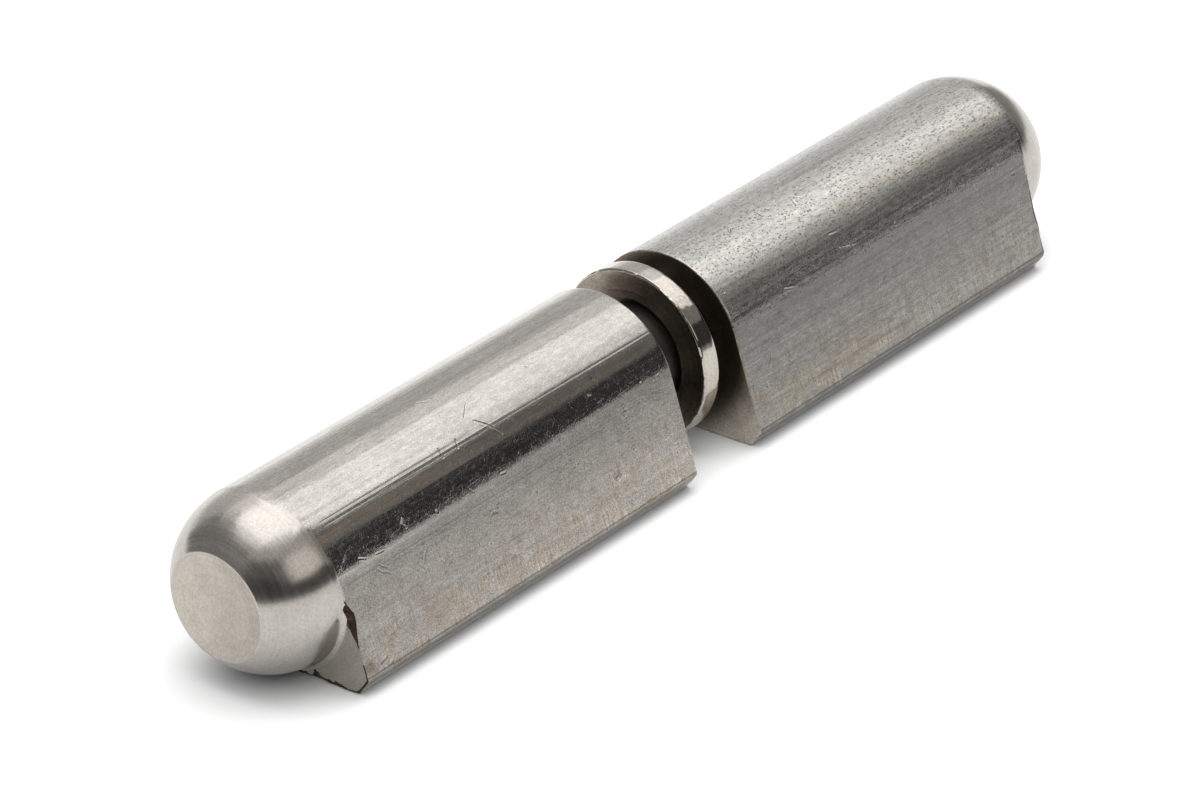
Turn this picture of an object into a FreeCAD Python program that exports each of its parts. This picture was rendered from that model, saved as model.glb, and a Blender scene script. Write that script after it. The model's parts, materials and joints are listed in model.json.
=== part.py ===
import FreeCAD, Part
import math
import os
import Sketcher

# Weld-on barrel hinge: two teardrop halves with turned domes, a pin that both turn on,
# and a thrust washer between them. It lies on one flat of its wings, with the halves
# drawn apart. +X runs along the pin from the lower half to the upper half, +Z is up.

# Driving sizes in millimetres and degrees. Each is written once, here.
SIZES = {
    # section of the drawn bar: a barrel with two flats that close in on the weld tip
    "barrel_diameter": 16.0,
    "flats_angle": 74.0,
    "tip_width": 1.95,
    "tip_round": 0.4,
    # each half, from its joint face to the end of its dome
    "half_length": 49.0,
    "dome_length": 6.3,
    "turned_depth": 0.05,
    "root_radius": 0.6,
    "face_break": 0.15,
    # pin and the bores that run on it
    "pin_diameter": 9.5,
    "pin_length": 62.0,
    "pin_seated": 30.0,
    "pin_chamfer": 0.8,
    "bore_clearance": 0.05,
    "bore_end_room": 1.0,
    "drill_angle": 118.0,
    "mouth_chamfer": 0.5,
    # thrust washer: how far its rim lies inside the barrel's, and how loose it is on the pin
    "washer_inset": 0.05,
    "washer_play": 0.6,
    "washer_thickness": 2.0,
    "washer_bevel": 0.3,
    # how far the hinge stands open on each side of the washer, and how the washer leans
    "lower_gap": 4.45,
    "upper_gap": 2.35,
    "washer_offset": 0.1,
    "washer_yaw": -1.6,
}

# a face thinner than this along X counts as flat across it
FLAT = 1e-6

# Values worked out from the driving sizes, as formulas of the sheet.
RADIUS = "Sizes.barrel_diameter / 2"
HALF_ANGLE = "(Sizes.flats_angle * 1deg / 2)"
# from the pin's axis to the narrow tip flat, which cuts the corner between the two flats
TIP_REACH = f"({RADIUS} / sin({HALF_ANGLE}) - Sizes.tip_width / (2 * tan({HALF_ANGLE})))"
SHOULDER = "Sizes.half_length - Sizes.dome_length"
DOME_RADIUS = f"({RADIUS} - Sizes.turned_depth)"
# clear of the wing, for the far side of what is turned away
TURNING_SWING = f"{TIP_REACH} + {RADIUS}"
BORE_DIAMETER = "Sizes.pin_diameter + 2 * Sizes.bore_clearance"
LOWER_BORE_DEPTH = "Sizes.pin_seated + Sizes.bore_end_room"
UPPER_BORE_DEPTH = (
    "Sizes.pin_length - Sizes.pin_seated - Sizes.washer_thickness + Sizes.bore_end_room"
)
WASHER_DIAMETER = "Sizes.barrel_diameter - 2 * Sizes.washer_inset"
WASHER_BORE = "Sizes.pin_diameter + 2 * Sizes.washer_play"
JOINT_GAP = "(Sizes.lower_gap + Sizes.washer_thickness + Sizes.upper_gap)"
# run of a flat from its tangent line to the start of the tip's round
FLAT_RUN = (
    f"(({TIP_REACH} - Sizes.tip_round - ({RADIUS} - Sizes.tip_round)"
    f" * sin({HALF_ANGLE})) / cos({HALF_ANGLE}))"
)
# how far the wing reaches from the pin's axis along -Y when its lower flat is level
WING_REACH = (
    f"(({RADIUS} - Sizes.tip_round) * sin(2 * {HALF_ANGLE})"
    f" + {FLAT_RUN} * cos(2 * {HALF_ANGLE}) + Sizes.tip_round)"
)
# the origin lies under the middle of the hinge's width
AXIS_Y = f"({WING_REACH} - {RADIUS}) / 2"


def make_sheet(doc):
    """The sheet of driving sizes, one named cell each."""
    sheet = doc.addObject("Spreadsheet::Sheet", "Sizes")
    for row, (name, value) in enumerate(SIZES.items(), start=1):
        sheet.set(f"A{row}", name)
        sheet.set(f"B{row}", str(value))
        sheet.setAlias(f"B{row}", name)
    doc.recompute()
    return sheet


def make_body(doc, label):
    body = doc.addObject("PartDesign::Body", label)
    body.Label = label
    return body


def origin_plane(body, role):
    return next(item for item in body.Origin.OriginFeatures if item.Role == role)


def make_sketch(body, name, role):
    """An empty sketch on one of the body's own origin planes."""
    sketch = body.newObject("Sketcher::SketchObject", name)
    sketch.AttachmentSupport = (origin_plane(body, role), [""])
    sketch.MapMode = "FlatFace"
    return sketch


def amount(item, formula):
    """A formula's value, in millimetres or degrees."""
    result = item.evalExpression(formula)
    return getattr(result, "Value", result)


def constrain(sketch, kind, *references):
    sketch.addConstraint(Sketcher.Constraint(kind, *references))


def drive(sketch, name, formula, kind, *references):
    """A dimension of the sketch that follows a formula of the sheet."""
    start = amount(sketch, formula)
    if kind == "Angle":
        start = math.radians(start)
    index = sketch.addConstraint(Sketcher.Constraint(kind, *references, start))
    sketch.renameConstraint(index, name)
    sketch.setExpression(f"Constraints.{name}", formula)


def point(x, y):
    return FreeCAD.Vector(x, y, 0)


def arc(centre, radius, first, last):
    """An arc in a sketch, counter-clockwise between two angles in radians."""
    circle = Part.Circle(centre, FreeCAD.Vector(0, 0, 1), radius)
    return Part.ArcOfCircle(circle, first, last)


def draw_bar_section(body):
    """Teardrop: the barrel's arc, two flats, and the narrow tip with its rounded corners.

    The wing points along the sketch's -X and is symmetric about it.
    """
    sketch = make_sketch(body, "BarSection", "YZ_Plane")
    radius = amount(sketch, RADIUS)
    tip_x = -amount(sketch, TIP_REACH)
    tip_round = SIZES["tip_round"]
    half_angle = math.radians(amount(sketch, HALF_ANGLE))
    flat_normal = math.pi / 2 + half_angle
    round_x = tip_x + tip_round
    round_y = (radius - tip_round + round_x * math.sin(half_angle)) / math.cos(half_angle)
    touch = point(radius * math.cos(flat_normal), radius * math.sin(flat_normal))
    upper_round = point(round_x, round_y)
    flat_end = upper_round + point(
        tip_round * math.cos(flat_normal), tip_round * math.sin(flat_normal)
    )

    barrel, upper, upper_corner, tip, lower_corner, lower = sketch.addGeometry(
        [
            arc(point(0, 0), radius, -flat_normal, flat_normal),
            Part.LineSegment(flat_end, touch),
            arc(upper_round, tip_round, flat_normal, math.pi),
            Part.LineSegment(point(tip_x, round_y), point(tip_x, -round_y)),
            arc(point(round_x, -round_y), tip_round, math.pi, 2 * math.pi - flat_normal),
            Part.LineSegment(point(flat_end.x, -flat_end.y), point(touch.x, -touch.y)),
        ]
    )
    constrain(sketch, "Coincident", barrel, 3, -1, 1)
    constrain(sketch, "Tangent", barrel, 2, upper, 2)
    constrain(sketch, "Tangent", upper, 1, upper_corner, 1)
    constrain(sketch, "Tangent", upper_corner, 2, tip, 1)
    constrain(sketch, "Tangent", tip, 2, lower_corner, 1)
    constrain(sketch, "Tangent", lower_corner, 2, lower, 1)
    constrain(sketch, "Tangent", lower, 2, barrel, 1)
    constrain(sketch, "Vertical", tip)
    constrain(sketch, "Equal", upper_corner, lower_corner)
    constrain(sketch, "Equal", upper, lower)
    drive(sketch, "barrel", RADIUS, "Radius", barrel)
    drive(sketch, "corner", "Sizes.tip_round", "Radius", upper_corner)
    drive(sketch, "reach", TIP_REACH, "DistanceX", tip, 1, -1, 1)
    drive(sketch, "slope", HALF_ANGLE, "Angle", upper)
    return sketch


def draw_dome_waste(body):
    """Half-section of what is turned away: outside the dome, out past the wing."""
    sketch = make_sketch(body, "DomeWaste", "XY_Plane")
    dome_radius = amount(sketch, DOME_RADIUS)
    shoulder = amount(sketch, SHOULDER)
    clear = amount(sketch, TURNING_SWING)
    root = SIZES["root_radius"]
    length = SIZES["half_length"]
    tip_flat = math.sqrt(dome_radius**2 - SIZES["dome_length"] ** 2)
    root_height = math.sqrt((dome_radius + root) ** 2 - root**2)
    tip_angle = math.atan2(tip_flat, SIZES["dome_length"])
    root_angle = math.atan2(root_height, root)

    dome, fillet, face, outside, end = sketch.addGeometry(
        [
            arc(point(shoulder, 0), dome_radius, tip_angle, root_angle),
            arc(point(shoulder + root, root_height), root, math.pi, math.pi + root_angle),
            Part.LineSegment(point(shoulder, root_height), point(shoulder, clear)),
            Part.LineSegment(point(shoulder, clear), point(length, clear)),
            Part.LineSegment(point(length, clear), point(length, tip_flat)),
        ]
    )
    constrain(sketch, "PointOnObject", dome, 3, -1)
    constrain(sketch, "Tangent", dome, 2, fillet, 2)
    constrain(sketch, "Tangent", fillet, 1, face, 1)
    constrain(sketch, "Coincident", face, 2, outside, 1)
    constrain(sketch, "Coincident", outside, 2, end, 1)
    constrain(sketch, "Coincident", end, 2, dome, 1)
    constrain(sketch, "Vertical", face)
    constrain(sketch, "Horizontal", outside)
    constrain(sketch, "Vertical", end)
    drive(sketch, "centre", SHOULDER, "DistanceX", -1, 1, dome, 3)
    drive(sketch, "shoulder", SHOULDER, "DistanceX", -1, 1, face, 2)
    drive(sketch, "length", "Sizes.half_length", "DistanceX", -1, 1, end, 1)
    drive(sketch, "dome", DOME_RADIUS, "Radius", dome)
    drive(sketch, "root", "Sizes.root_radius", "Radius", fillet)
    drive(sketch, "swing", TURNING_SWING, "DistanceY", -1, 1, face, 2)
    return sketch


def draw_circles(body, name, formulas):
    """Circles about the pin's axis, each with a diameter that follows a formula."""
    sketch = make_sketch(body, name, "YZ_Plane")
    for order, formula in enumerate(formulas):
        radius = amount(sketch, formula) / 2
        circle = sketch.addGeometry(Part.Circle(point(0, 0), FreeCAD.Vector(0, 0, 1), radius))
        constrain(sketch, "Coincident", circle, 3, -1, 1)
        drive(sketch, f"diameter{order}", formula, "Diameter", circle)
    return sketch


def pad(doc, body, sketch, name, formula, centred=False):
    feature = body.newObject("PartDesign::Pad", name)
    feature.Profile = sketch
    feature.Midplane = centred
    feature.setExpression("Length", formula)
    doc.recompute()
    return feature


def names_of(kind, items, wanted):
    """The names of a shape's edges or faces that pass a test."""
    return [f"{kind}{i}" for i, item in enumerate(items, start=1) if wanted(item)]


def chamfer(doc, body, base, references, name, formula):
    feature = body.newObject("PartDesign::Chamfer", name)
    feature.Base = (base, references)
    feature.setExpression("Size", formula)
    doc.recompute()
    return feature


def turn_dome(doc, body):
    """The form tool's cut at the bar's far end: dome, root radius and shoulder."""
    sketch = draw_dome_waste(body)
    cut = body.newObject("PartDesign::Groove", "TurnedDome")
    cut.Profile = sketch
    cut.ReferenceAxis = (sketch, ["H_Axis"])
    cut.Angle = 360.0
    doc.recompute()
    return cut


def drill_bore(doc, body, depth):
    """A blind hole from the joint face, with a drill point and a chamfered mouth."""
    sketch = draw_circles(body, "BoreMouth", [BORE_DIAMETER])
    doc.recompute()
    hole = body.newObject("PartDesign::Hole", "Bore")
    hole.Profile = sketch
    doc.recompute()
    hole.Reversed = True
    hole.DepthType = "Dimension"
    hole.DrillPoint = "Angled"
    hole.HoleCutType = "Countersink"
    hole.HoleCutCustomValues = True
    hole.HoleCutCountersinkAngle = 90.0
    hole.setExpression("Diameter", BORE_DIAMETER)
    hole.setExpression("Depth", depth)
    hole.setExpression("DrillPointAngle", "Sizes.drill_angle")
    hole.setExpression("HoleCutDiameter", f"{BORE_DIAMETER} + 2 * Sizes.mouth_chamfer")
    doc.recompute()
    return hole


def is_at_joint_face(face):
    return abs(face.BoundBox.XMax) < FLAT


def is_end_face(face):
    return face.BoundBox.XLength < FLAT


def make_half(doc, label, bore_depth):
    """One half of the hinge, with its joint face at x = 0 and its wing along -Y."""
    body = make_body(doc, label)
    section = draw_bar_section(body)
    bar = pad(doc, body, section, "DrawnBar", "Sizes.half_length")
    joint_face = names_of("Face", bar.Shape.Faces, is_at_joint_face)
    broken = chamfer(doc, body, bar, joint_face, "FaceBreak", "Sizes.face_break")
    domed = turn_dome(doc, body)
    bored = drill_bore(doc, body, bore_depth)
    require_less(f"{label}: the dome's turning", broken, domed)
    require_less(f"{label}: the bore", domed, bored)
    return body


def make_pin(doc):
    """The hinge pin, with its lower end at x = 0."""
    body = make_body(doc, "hinge_pin")
    section = draw_circles(body, "PinSection", ["Sizes.pin_diameter"])
    rod = pad(doc, body, section, "Rod", "Sizes.pin_length")
    ends = names_of("Face", rod.Shape.Faces, is_end_face)
    chamfer(doc, body, rod, ends, "EndChamfers", "Sizes.pin_chamfer")
    return body


def make_washer(doc):
    """The thrust washer, with x = 0 at the middle of its thickness."""
    body = make_body(doc, "thrust_washer")
    section = draw_circles(body, "WasherSection", [WASHER_DIAMETER, WASHER_BORE])
    ring = pad(doc, body, section, "Ring", "Sizes.washer_thickness", centred=True)
    middle = (amount(body, WASHER_DIAMETER) + amount(body, WASHER_BORE)) / 4
    rims = names_of("Edge", ring.Shape.Edges, lambda edge: is_rim(edge, middle))
    chamfer(doc, body, ring, rims, "RimBevels", "Sizes.washer_bevel")
    return body


def is_rim(edge, middle):
    """True for a full circle outside a middle radius."""
    return isinstance(edge.Curve, Part.Circle) and edge.Curve.Radius > middle


def require_less(what, before, after):
    if not after.Shape.Volume < before.Shape.Volume:
        raise RuntimeError(f"{what} took nothing away")


def place(body, x, turn, y=AXIS_Y):
    """Puts a body on the pin's axis, which lies one barrel radius above the floor."""
    body.setExpression("Placement", f"placement(vector({x}; {y}; {RADIUS}); {turn})")


def place_all(lower, pin, washer, upper):
    """The hinge drawn apart, with its middle over the origin."""
    level = f"rotation(vector(1; 0; 0); {HALF_ANGLE})"
    turned_round = (
        f"rotation(vector(0; cos({HALF_ANGLE} / 2); sin({HALF_ANGLE} / 2)); 180)"
    )
    straight = "rotation(vector(0; 0; 1); 0)"
    yawed = "rotation(vector(0; 0; 1); Sizes.washer_yaw)"
    washer_middle = f"Sizes.lower_gap + Sizes.washer_thickness / 2 - {JOINT_GAP} / 2"
    place(lower, f"-{JOINT_GAP} / 2", turned_round)
    place(upper, f"{JOINT_GAP} / 2", level)
    place(pin, f"-{JOINT_GAP} / 2 - Sizes.pin_seated", straight)
    place(washer, washer_middle, yawed, f"{AXIS_Y} + Sizes.washer_offset")


def check_document(doc, bodies):
    """Stops the build when any object failed or any sub-part has no valid solid."""
    for item in doc.Objects:
        if {"Invalid", "Error"} & set(item.State):
            raise RuntimeError(f"{item.Label} failed: {item.State}")
    for body in bodies:
        if body.Shape.isNull() or not body.Shape.isValid() or len(body.Shape.Solids) != 1:
            raise RuntimeError(f"{body.Label} is not one valid solid")


def export(bodies):
    os.makedirs("parts", exist_ok=True)
    for body in bodies:
        body.Shape.exportStep(f"parts/{body.Label}.step")
        print(f"{body.Label}: {body.Shape.Volume:.1f} mm3")


doc = FreeCAD.newDocument("WeldOnBarrelHinge")
make_sheet(doc)
lower = make_half(doc, "lower_barrel", LOWER_BORE_DEPTH)
pin = make_pin(doc)
washer = make_washer(doc)
upper = make_half(doc, "upper_barrel", UPPER_BORE_DEPTH)
place_all(lower, pin, washer, upper)
doc.recompute()
subparts = [lower, pin, washer, upper]
check_document(doc, subparts)
export(subparts)
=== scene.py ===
import json
import math
import random

import bmesh
import bpy
from mathutils import Matrix, Vector, noise


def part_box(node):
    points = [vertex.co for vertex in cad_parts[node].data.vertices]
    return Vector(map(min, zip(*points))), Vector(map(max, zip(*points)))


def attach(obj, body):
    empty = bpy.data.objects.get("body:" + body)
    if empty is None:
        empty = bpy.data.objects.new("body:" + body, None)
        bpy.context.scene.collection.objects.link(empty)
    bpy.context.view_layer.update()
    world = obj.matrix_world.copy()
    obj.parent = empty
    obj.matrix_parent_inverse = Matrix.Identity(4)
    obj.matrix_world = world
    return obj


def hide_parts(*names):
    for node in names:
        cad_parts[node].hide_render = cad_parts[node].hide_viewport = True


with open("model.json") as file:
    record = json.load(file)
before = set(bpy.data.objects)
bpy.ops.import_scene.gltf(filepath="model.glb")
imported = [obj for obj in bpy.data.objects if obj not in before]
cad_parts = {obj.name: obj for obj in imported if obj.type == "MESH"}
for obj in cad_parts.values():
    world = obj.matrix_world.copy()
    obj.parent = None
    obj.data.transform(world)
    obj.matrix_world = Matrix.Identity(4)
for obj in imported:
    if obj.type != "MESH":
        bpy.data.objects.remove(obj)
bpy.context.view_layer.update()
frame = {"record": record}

MM = 0.001

# The bar's section, in millimetres and degrees round the pin's axis; round sizes are radii.
PIVOT = Vector(frame["record"]["behaviour"]["joints"][0]["pos_m"]) / MM
BARREL = 8.0
WING_TIP = 12.0
FLAT_FACES = 164.0
TIP_FACES = 217.0
UNDER_FACES = 270.0
TIP_ROUND = 0.4
FLAT_WIDTH = 8.79
# From the middle of the tip to the ends of its flat and of its rounded corners, in degrees.
TIP_FLAT = 3.69
TIP_EDGE = 5.29

# One half as the solids have it, from its joint face, which stands HALF_FACE from the middle of
# the hinge, to the dome's end flat; u is the distance from the joint face.
HALF_FACE = 4.4
SHOULDER = 42.7
DOME = 7.95
DOME_LENGTH = 6.3
DOME_EDGE = 0.25
ROOT = 0.6
FACE_BREAK = 0.15
BORE = 4.8
BORE_DEPTH = 31.0
DRILL_POINT = math.radians(59.0)
MOUTH = 5.3

# The round blank that each half is pulled in from, how far from its end its edge is worked, and
# the widest mark pressed into it.
BLANK = 12.6
EDGE_ZONE = 0.6
WIDEST_MARK = 0.11

# The pin, with its ends as they stand along X, and the washer, turned by its yaw in degrees.
PIN = 4.75
PIN_LEFT = -34.4
PIN_RIGHT = 27.6
PIN_CHAMFER = 0.8
PIN_STEPS = 120
WASHER = 7.95
WASHER_BORE = 5.35
WASHER_BEVEL = 0.26
WASHER_THICK = 2.0
WASHER_YAW = -1.6
WASHER_STEPS = 480

# Where the unrolled outline starts: for marks on the mesh, and for the patterns in materials.
UNROLL_FROM = 40.0
SEAM_TURN = TIP_FACES - 180

# The wing's end edge stands clear of the dome between these angles.
EDGE_FROM = 176
EDGE_TO = 268

# Material slots of a half.
SKIN, TURNED, FACED, JOINT, TORN, RUBBED, RAW = range(7)


def linear(hex_colour):
    """The linear RGBA of an sRGB hex colour."""
    channels = [int(hex_colour[i:i + 2], 16) / 255 for i in (1, 3, 5)]
    curve = [c / 12.92 if c <= 0.04045 else ((c + 0.055) / 1.055) ** 2.4 for c in channels]
    return (*curve, 1.0)


def add(tree, kind, *inputs, **settings):
    """Adds a node with its settings, and sets its inputs or links them to nodes or sockets.

    Inputs come in the order of the node's sockets, or else as one dict by name or number.
    """
    made = tree.nodes.new("ShaderNode" + kind)
    for name, value in settings.items():
        setattr(made, name, value)
    named = inputs[0] if inputs and isinstance(inputs[0], dict) else dict(enumerate(inputs))
    for socket, value in named.items():
        if isinstance(value, bpy.types.Node):
            value = value.outputs[0]
        if isinstance(value, bpy.types.NodeSocket):
            tree.links.new(value, made.inputs[socket])
        else:
            made.inputs[socket].default_value = value
    return made


def blank_tree(owner):
    """The node tree of a material or world, emptied."""
    owner.use_nodes = True
    owner.node_tree.nodes.clear()
    return owner.node_tree


# The section of the bar.


def section_radius(angle):
    """Distance from the pin's axis to the teardrop's outline at an angle in degrees."""
    off_tip = abs((angle - TIP_FACES + 180) % 360 - 180)
    half = TIP_FACES - FLAT_FACES
    if off_tip >= half:
        return BARREL
    a, b = math.radians(off_tip), math.radians(half)
    centre_x = WING_TIP - TIP_ROUND
    centre_y = (BARREL - TIP_ROUND - centre_x * math.cos(b)) / math.sin(b)
    if off_tip < math.degrees(math.atan2(centre_y, WING_TIP)):
        return WING_TIP / math.cos(a)
    flat_end = math.atan2(centre_y + TIP_ROUND * math.sin(b), centre_x + TIP_ROUND * math.cos(b))
    if a > flat_end:
        return BARREL / math.cos(b - a)
    along = centre_x * math.cos(a) + centre_y * math.sin(a)
    return along + math.sqrt(along ** 2 - centre_x ** 2 - centre_y ** 2 + TIP_ROUND ** 2)


def spread(start, end, steps):
    """Even steps from the start up to, and without, the end."""
    return [start + (end - start) * i / steps for i in range(steps)]


def column_angles():
    """Angles of the lengthwise edges: close on what shows, closer still along the draw line."""
    rounds = ((0, 40, 20), (40, 127, 66), (127, 137, 40), (137, FLAT_FACES, 28))
    barrel = [angle for part in rounds for angle in spread(*part)]
    front = [FLAT_FACES + math.degrees(math.atan(d / BARREL))
             for d in spread(0.0, FLAT_WIDTH, 42)]
    corners = [TIP_FACES + off for off in (-TIP_EDGE, -TIP_FLAT, TIP_FLAT, TIP_EDGE)]
    tip = [angle for ends in zip(corners, corners[1:]) for angle in spread(*ends, 5)]
    under = [UNDER_FACES - math.degrees(math.atan(d / BARREL))
             for d in spread(FLAT_WIDTH, 0.0, 44)]
    return barrel + front + tip + under + spread(UNDER_FACES, 360, 36)


COLUMNS = column_angles()

# Radii in the end's outline: where the root fillet leaves the wing's end face and meets the
# dome, and where the dome's rounded edge starts and runs out into the end flat.
ROOT_EDGE = math.sqrt((DOME + ROOT) ** 2 - ROOT ** 2)
ROOT_DOME = ROOT_EDGE * DOME / (DOME + ROOT)
END_FLAT = math.sqrt((DOME - DOME_EDGE) ** 2 - (DOME_LENGTH - DOME_EDGE) ** 2)
END_DOME = END_FLAT * DOME / (DOME - DOME_EDGE)


def end_curve(radius):
    """How far the dome, its root fillet or the wing's end face stands from the joint face."""
    if radius >= ROOT_EDGE:
        return SHOULDER
    if radius > ROOT_DOME:
        return SHOULDER + ROOT - math.sqrt(ROOT ** 2 - (ROOT_EDGE - radius) ** 2)
    if radius > END_DOME:
        return SHOULDER + math.sqrt(DOME ** 2 - radius ** 2)
    if radius > END_FLAT:
        rise = math.sqrt(DOME_EDGE ** 2 - (radius - END_FLAT) ** 2)
        return SHOULDER + DOME_LENGTH - DOME_EDGE + rise
    return SHOULDER + DOME_LENGTH


def half_profile():
    """Half a lengthwise cut of the blank, as (distance from the joint face, radius)."""
    apex = BORE_DEPTH + BORE / math.tan(DRILL_POINT)
    rows = [(apex, 0.0), (apex - 1.4, BORE * 0.485), (BORE_DEPTH, BORE)]
    rows += [(u, BORE) for u in spread(BORE_DEPTH - 3, 0.5, 3)]
    rows += [(0.5, BORE), (0.25, (BORE + MOUTH) / 2), (0.0, MOUTH)]
    rows += [(0.0, r) for r in spread(MOUTH, BLANK - FACE_BREAK, 6)[1:]]
    for turn in (0, 22.5, 45, 67.5, 90):
        a = math.radians(turn)
        rows.append((FACE_BREAK * (1 - math.cos(a)), BLANK - FACE_BREAK * (1 - math.sin(a))))
    rows += [(u, BLANK) for u in spread(FACE_BREAK, SHOULDER - EDGE_ZONE, 170)[1:]]
    rows += [(u, BLANK) for u in spread(SHOULDER - EDGE_ZONE, SHOULDER, 5)]
    rows += [(SHOULDER, r) for r in spread(BLANK, ROOT_EDGE, 22)]
    rows += [(end_curve(r), r) for r in spread(ROOT_EDGE, ROOT_DOME, 8)]
    # The dome's rows are closer near its root, where the end of the drawn skin shows.
    root, close_to = math.asin(ROOT_DOME / DOME), math.radians(74)
    edge = math.acos(DOME_LENGTH / DOME) + 0.012
    turns = spread(root, close_to, 12) + spread(close_to, edge, 22)
    rows += [(SHOULDER + DOME * math.cos(t), DOME * math.sin(t)) for t in turns]
    rows += [(end_curve(r), r) for r in spread(END_DOME, END_FLAT, 4)]
    rows += [(SHOULDER + DOME_LENGTH, r) for r in spread(END_FLAT, 0.0, 8)]
    rows.append((SHOULDER + DOME_LENGTH, 0.0))
    return rows


def spun(rows, centre, steps):
    """A bmesh of a profile of (x, radius) rows in millimetres, spun right round the axis."""
    bm = bmesh.new()
    verts = [bm.verts.new((x, centre.y, centre.z + r)) for x, r in rows]
    edges = [bm.edges.new(pair) for pair in zip(verts, verts[1:])]
    bmesh.ops.spin(bm, geom=verts + edges, cent=centre, axis=(1, 0, 0), angle=2 * math.pi,
                   steps=steps, use_merge=True)
    return bm


def unrolled(angle):
    """Distance round the outline from the line at UNROLL_FROM, over the round and the flat."""
    tangent = BARREL * math.radians(FLAT_FACES - UNROLL_FROM)
    # The back counts the other way, and past the tip's middle all lies on one line.
    if angle > 243:
        angle -= 360
    if angle > FLAT_FACES:
        return tangent + BARREL * math.tan(math.radians(min(angle, 215) - FLAT_FACES))
    return BARREL * math.radians(angle - UNROLL_FROM)


def eased(value):
    """A soft step: 0 up to 0, 1 from 1 on, and level at both ends."""
    value = min(max(value, 0.0), 1.0)
    return value * value * (3 - 2 * value)


def ragged(angle, seed):
    """Noise from -1 to 1 along a broken or worn edge, a few degrees from lump to lump."""
    return noise.noise(Vector((math.radians(angle) * 9.0, seed, 0.0)))


def skin_end(angle, side):
    """Where the drawn skin stops on the dome, at the edge that the turning tool left."""
    wander = 0.08 * noise.noise(Vector((angle * 0.16, side * 4.0, 7.0)))
    shortest = SHOULDER + (0.25 if side < 0 else 0.7)
    return shortest + 0.85 * math.exp(-((angle - 98) / 28) ** 2) + wander


def pull_to_section(bm, side, surface, chips):
    """Pulls the round blank in to the teardrop bar, and sets it out from its joint face."""
    count = len(COLUMNS)
    for v in bm.verts:
        y, z, u = v.co.y - PIVOT.y, v.co.z - PIVOT.z, v.co.x
        r = math.hypot(y, z)
        if r < 1e-4:
            v.co.x = side * (HALF_FACE + u)
            continue
        column = round(((math.degrees(math.atan2(y, z))) % 360) * count / 360) % count
        angle = COLUMNS[column]
        outline = section_radius(angle)
        wing = outline > ROOT_EDGE
        on_wall = r > BLANK - 0.01
        on_end = not on_wall and r > ROOT_EDGE + 0.002 and abs(u - SHOULDER) < 1e-4
        chip, bite = chips(angle)
        if wing:
            bite = max(min(bite, outline - ROOT_EDGE - 0.03), 0.0)
        elif outline <= BARREL + 0.1:
            chip, bite = 0.0, 0.0
        edge_end = SHOULDER if wing else end_curve(outline - bite)
        if r > MOUTH - 0.01 and u < FACE_BREAK - 1e-4:
            flat = (r - MOUTH) / (BLANK - FACE_BREAK - MOUTH)
            inner = MOUTH + flat * (outline - FACE_BREAK - MOUTH)
            r = inner if flat <= 1 else outline - (BLANK - r)
        elif on_wall:
            row = (SHOULDER - u) / EDGE_ZONE
            r = outline + surface(angle, u)
            if chip and row < 1 - 1e-6:
                # The rows next to the end make the broken edge.
                u = edge_end - row * chip
                r -= bite * (1 - row) * (1 + 0.5 * row * ragged(angle * 3 + row * 40, 1.7))
            elif u > SHOULDER - 2:
                # The last 2 mm of the wall's other rows stretch to meet the edge.
                end = edge_end - chip if chip else end_curve(outline)
                last = EDGE_ZONE if chip else 0.0
                u = SHOULDER - 2 + (u - SHOULDER + 2) * (end - SHOULDER + 2) / (2 - last)
        elif on_end and wing:
            share = (r - ROOT_EDGE) / (BLANK - ROOT_EDGE)
            r = ROOT_EDGE + share * (outline - bite - ROOT_EDGE)
        elif on_end or u > SHOULDER and r > outline - bite:
            r = outline - bite
            u = end_curve(r)
        # Round the barrel, the drawn skin runs on into the dome with hardly a step.
        if outline <= BARREL + 1e-6 and u > SHOULDER - 1.0 and r > END_DOME + 0.03:
            from_wing = eased((min(abs(angle - FLAT_FACES), abs(angle - UNDER_FACES)) - 4) / 14)
            height = min(max(u - SHOULDER, 0.0), DOME_LENGTH)
            round_r = math.sqrt(max(DOME ** 2 - height ** 2, 0.0))
            step = (0.45 if side < 0 else 1.1) + 1.5 * eased((angle - 120) / 12)
            fade = 1 - eased((u - skin_end(angle, side)) / step)
            r += from_wing * (max(round_r, r - 0.2) + (BARREL - DOME) * fade - r)
        a = math.radians(angle)
        v.co = (side * (HALF_FACE + u), PIVOT.y + r * math.cos(a), PIVOT.z + r * math.sin(a))


def place_on_bar(point, side):
    """(distance from the joint face, distance round the outline) of a point on a half."""
    angle = math.degrees(math.atan2(point.z - PIVOT.z, point.y - PIVOT.y)) % 360
    return Vector((side * point.x - HALF_FACE, unrolled(angle)))


def on_outside(point, side):
    """Whether a point is on the drawn skin, clear of its ends and of what the hinge lies on."""
    high = math.hypot(point.y - PIVOT.y, point.z - PIVOT.z) > BARREL - 0.1
    return high and 0.3 < side * point.x - HALF_FACE < SHOULDER - 0.3 and point.z > 0.2


def from_line(p, line):
    """Distance of a point from a line of points."""
    best = 1e9
    for a, b in zip(line, line[1:]):
        t = (p - a).dot(b - a) / max((b - a).length_squared, 1e-9)
        best = min(best, (p - a - (b - a) * min(max(t, 0.0), 1.0)).length)
    return best


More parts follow.
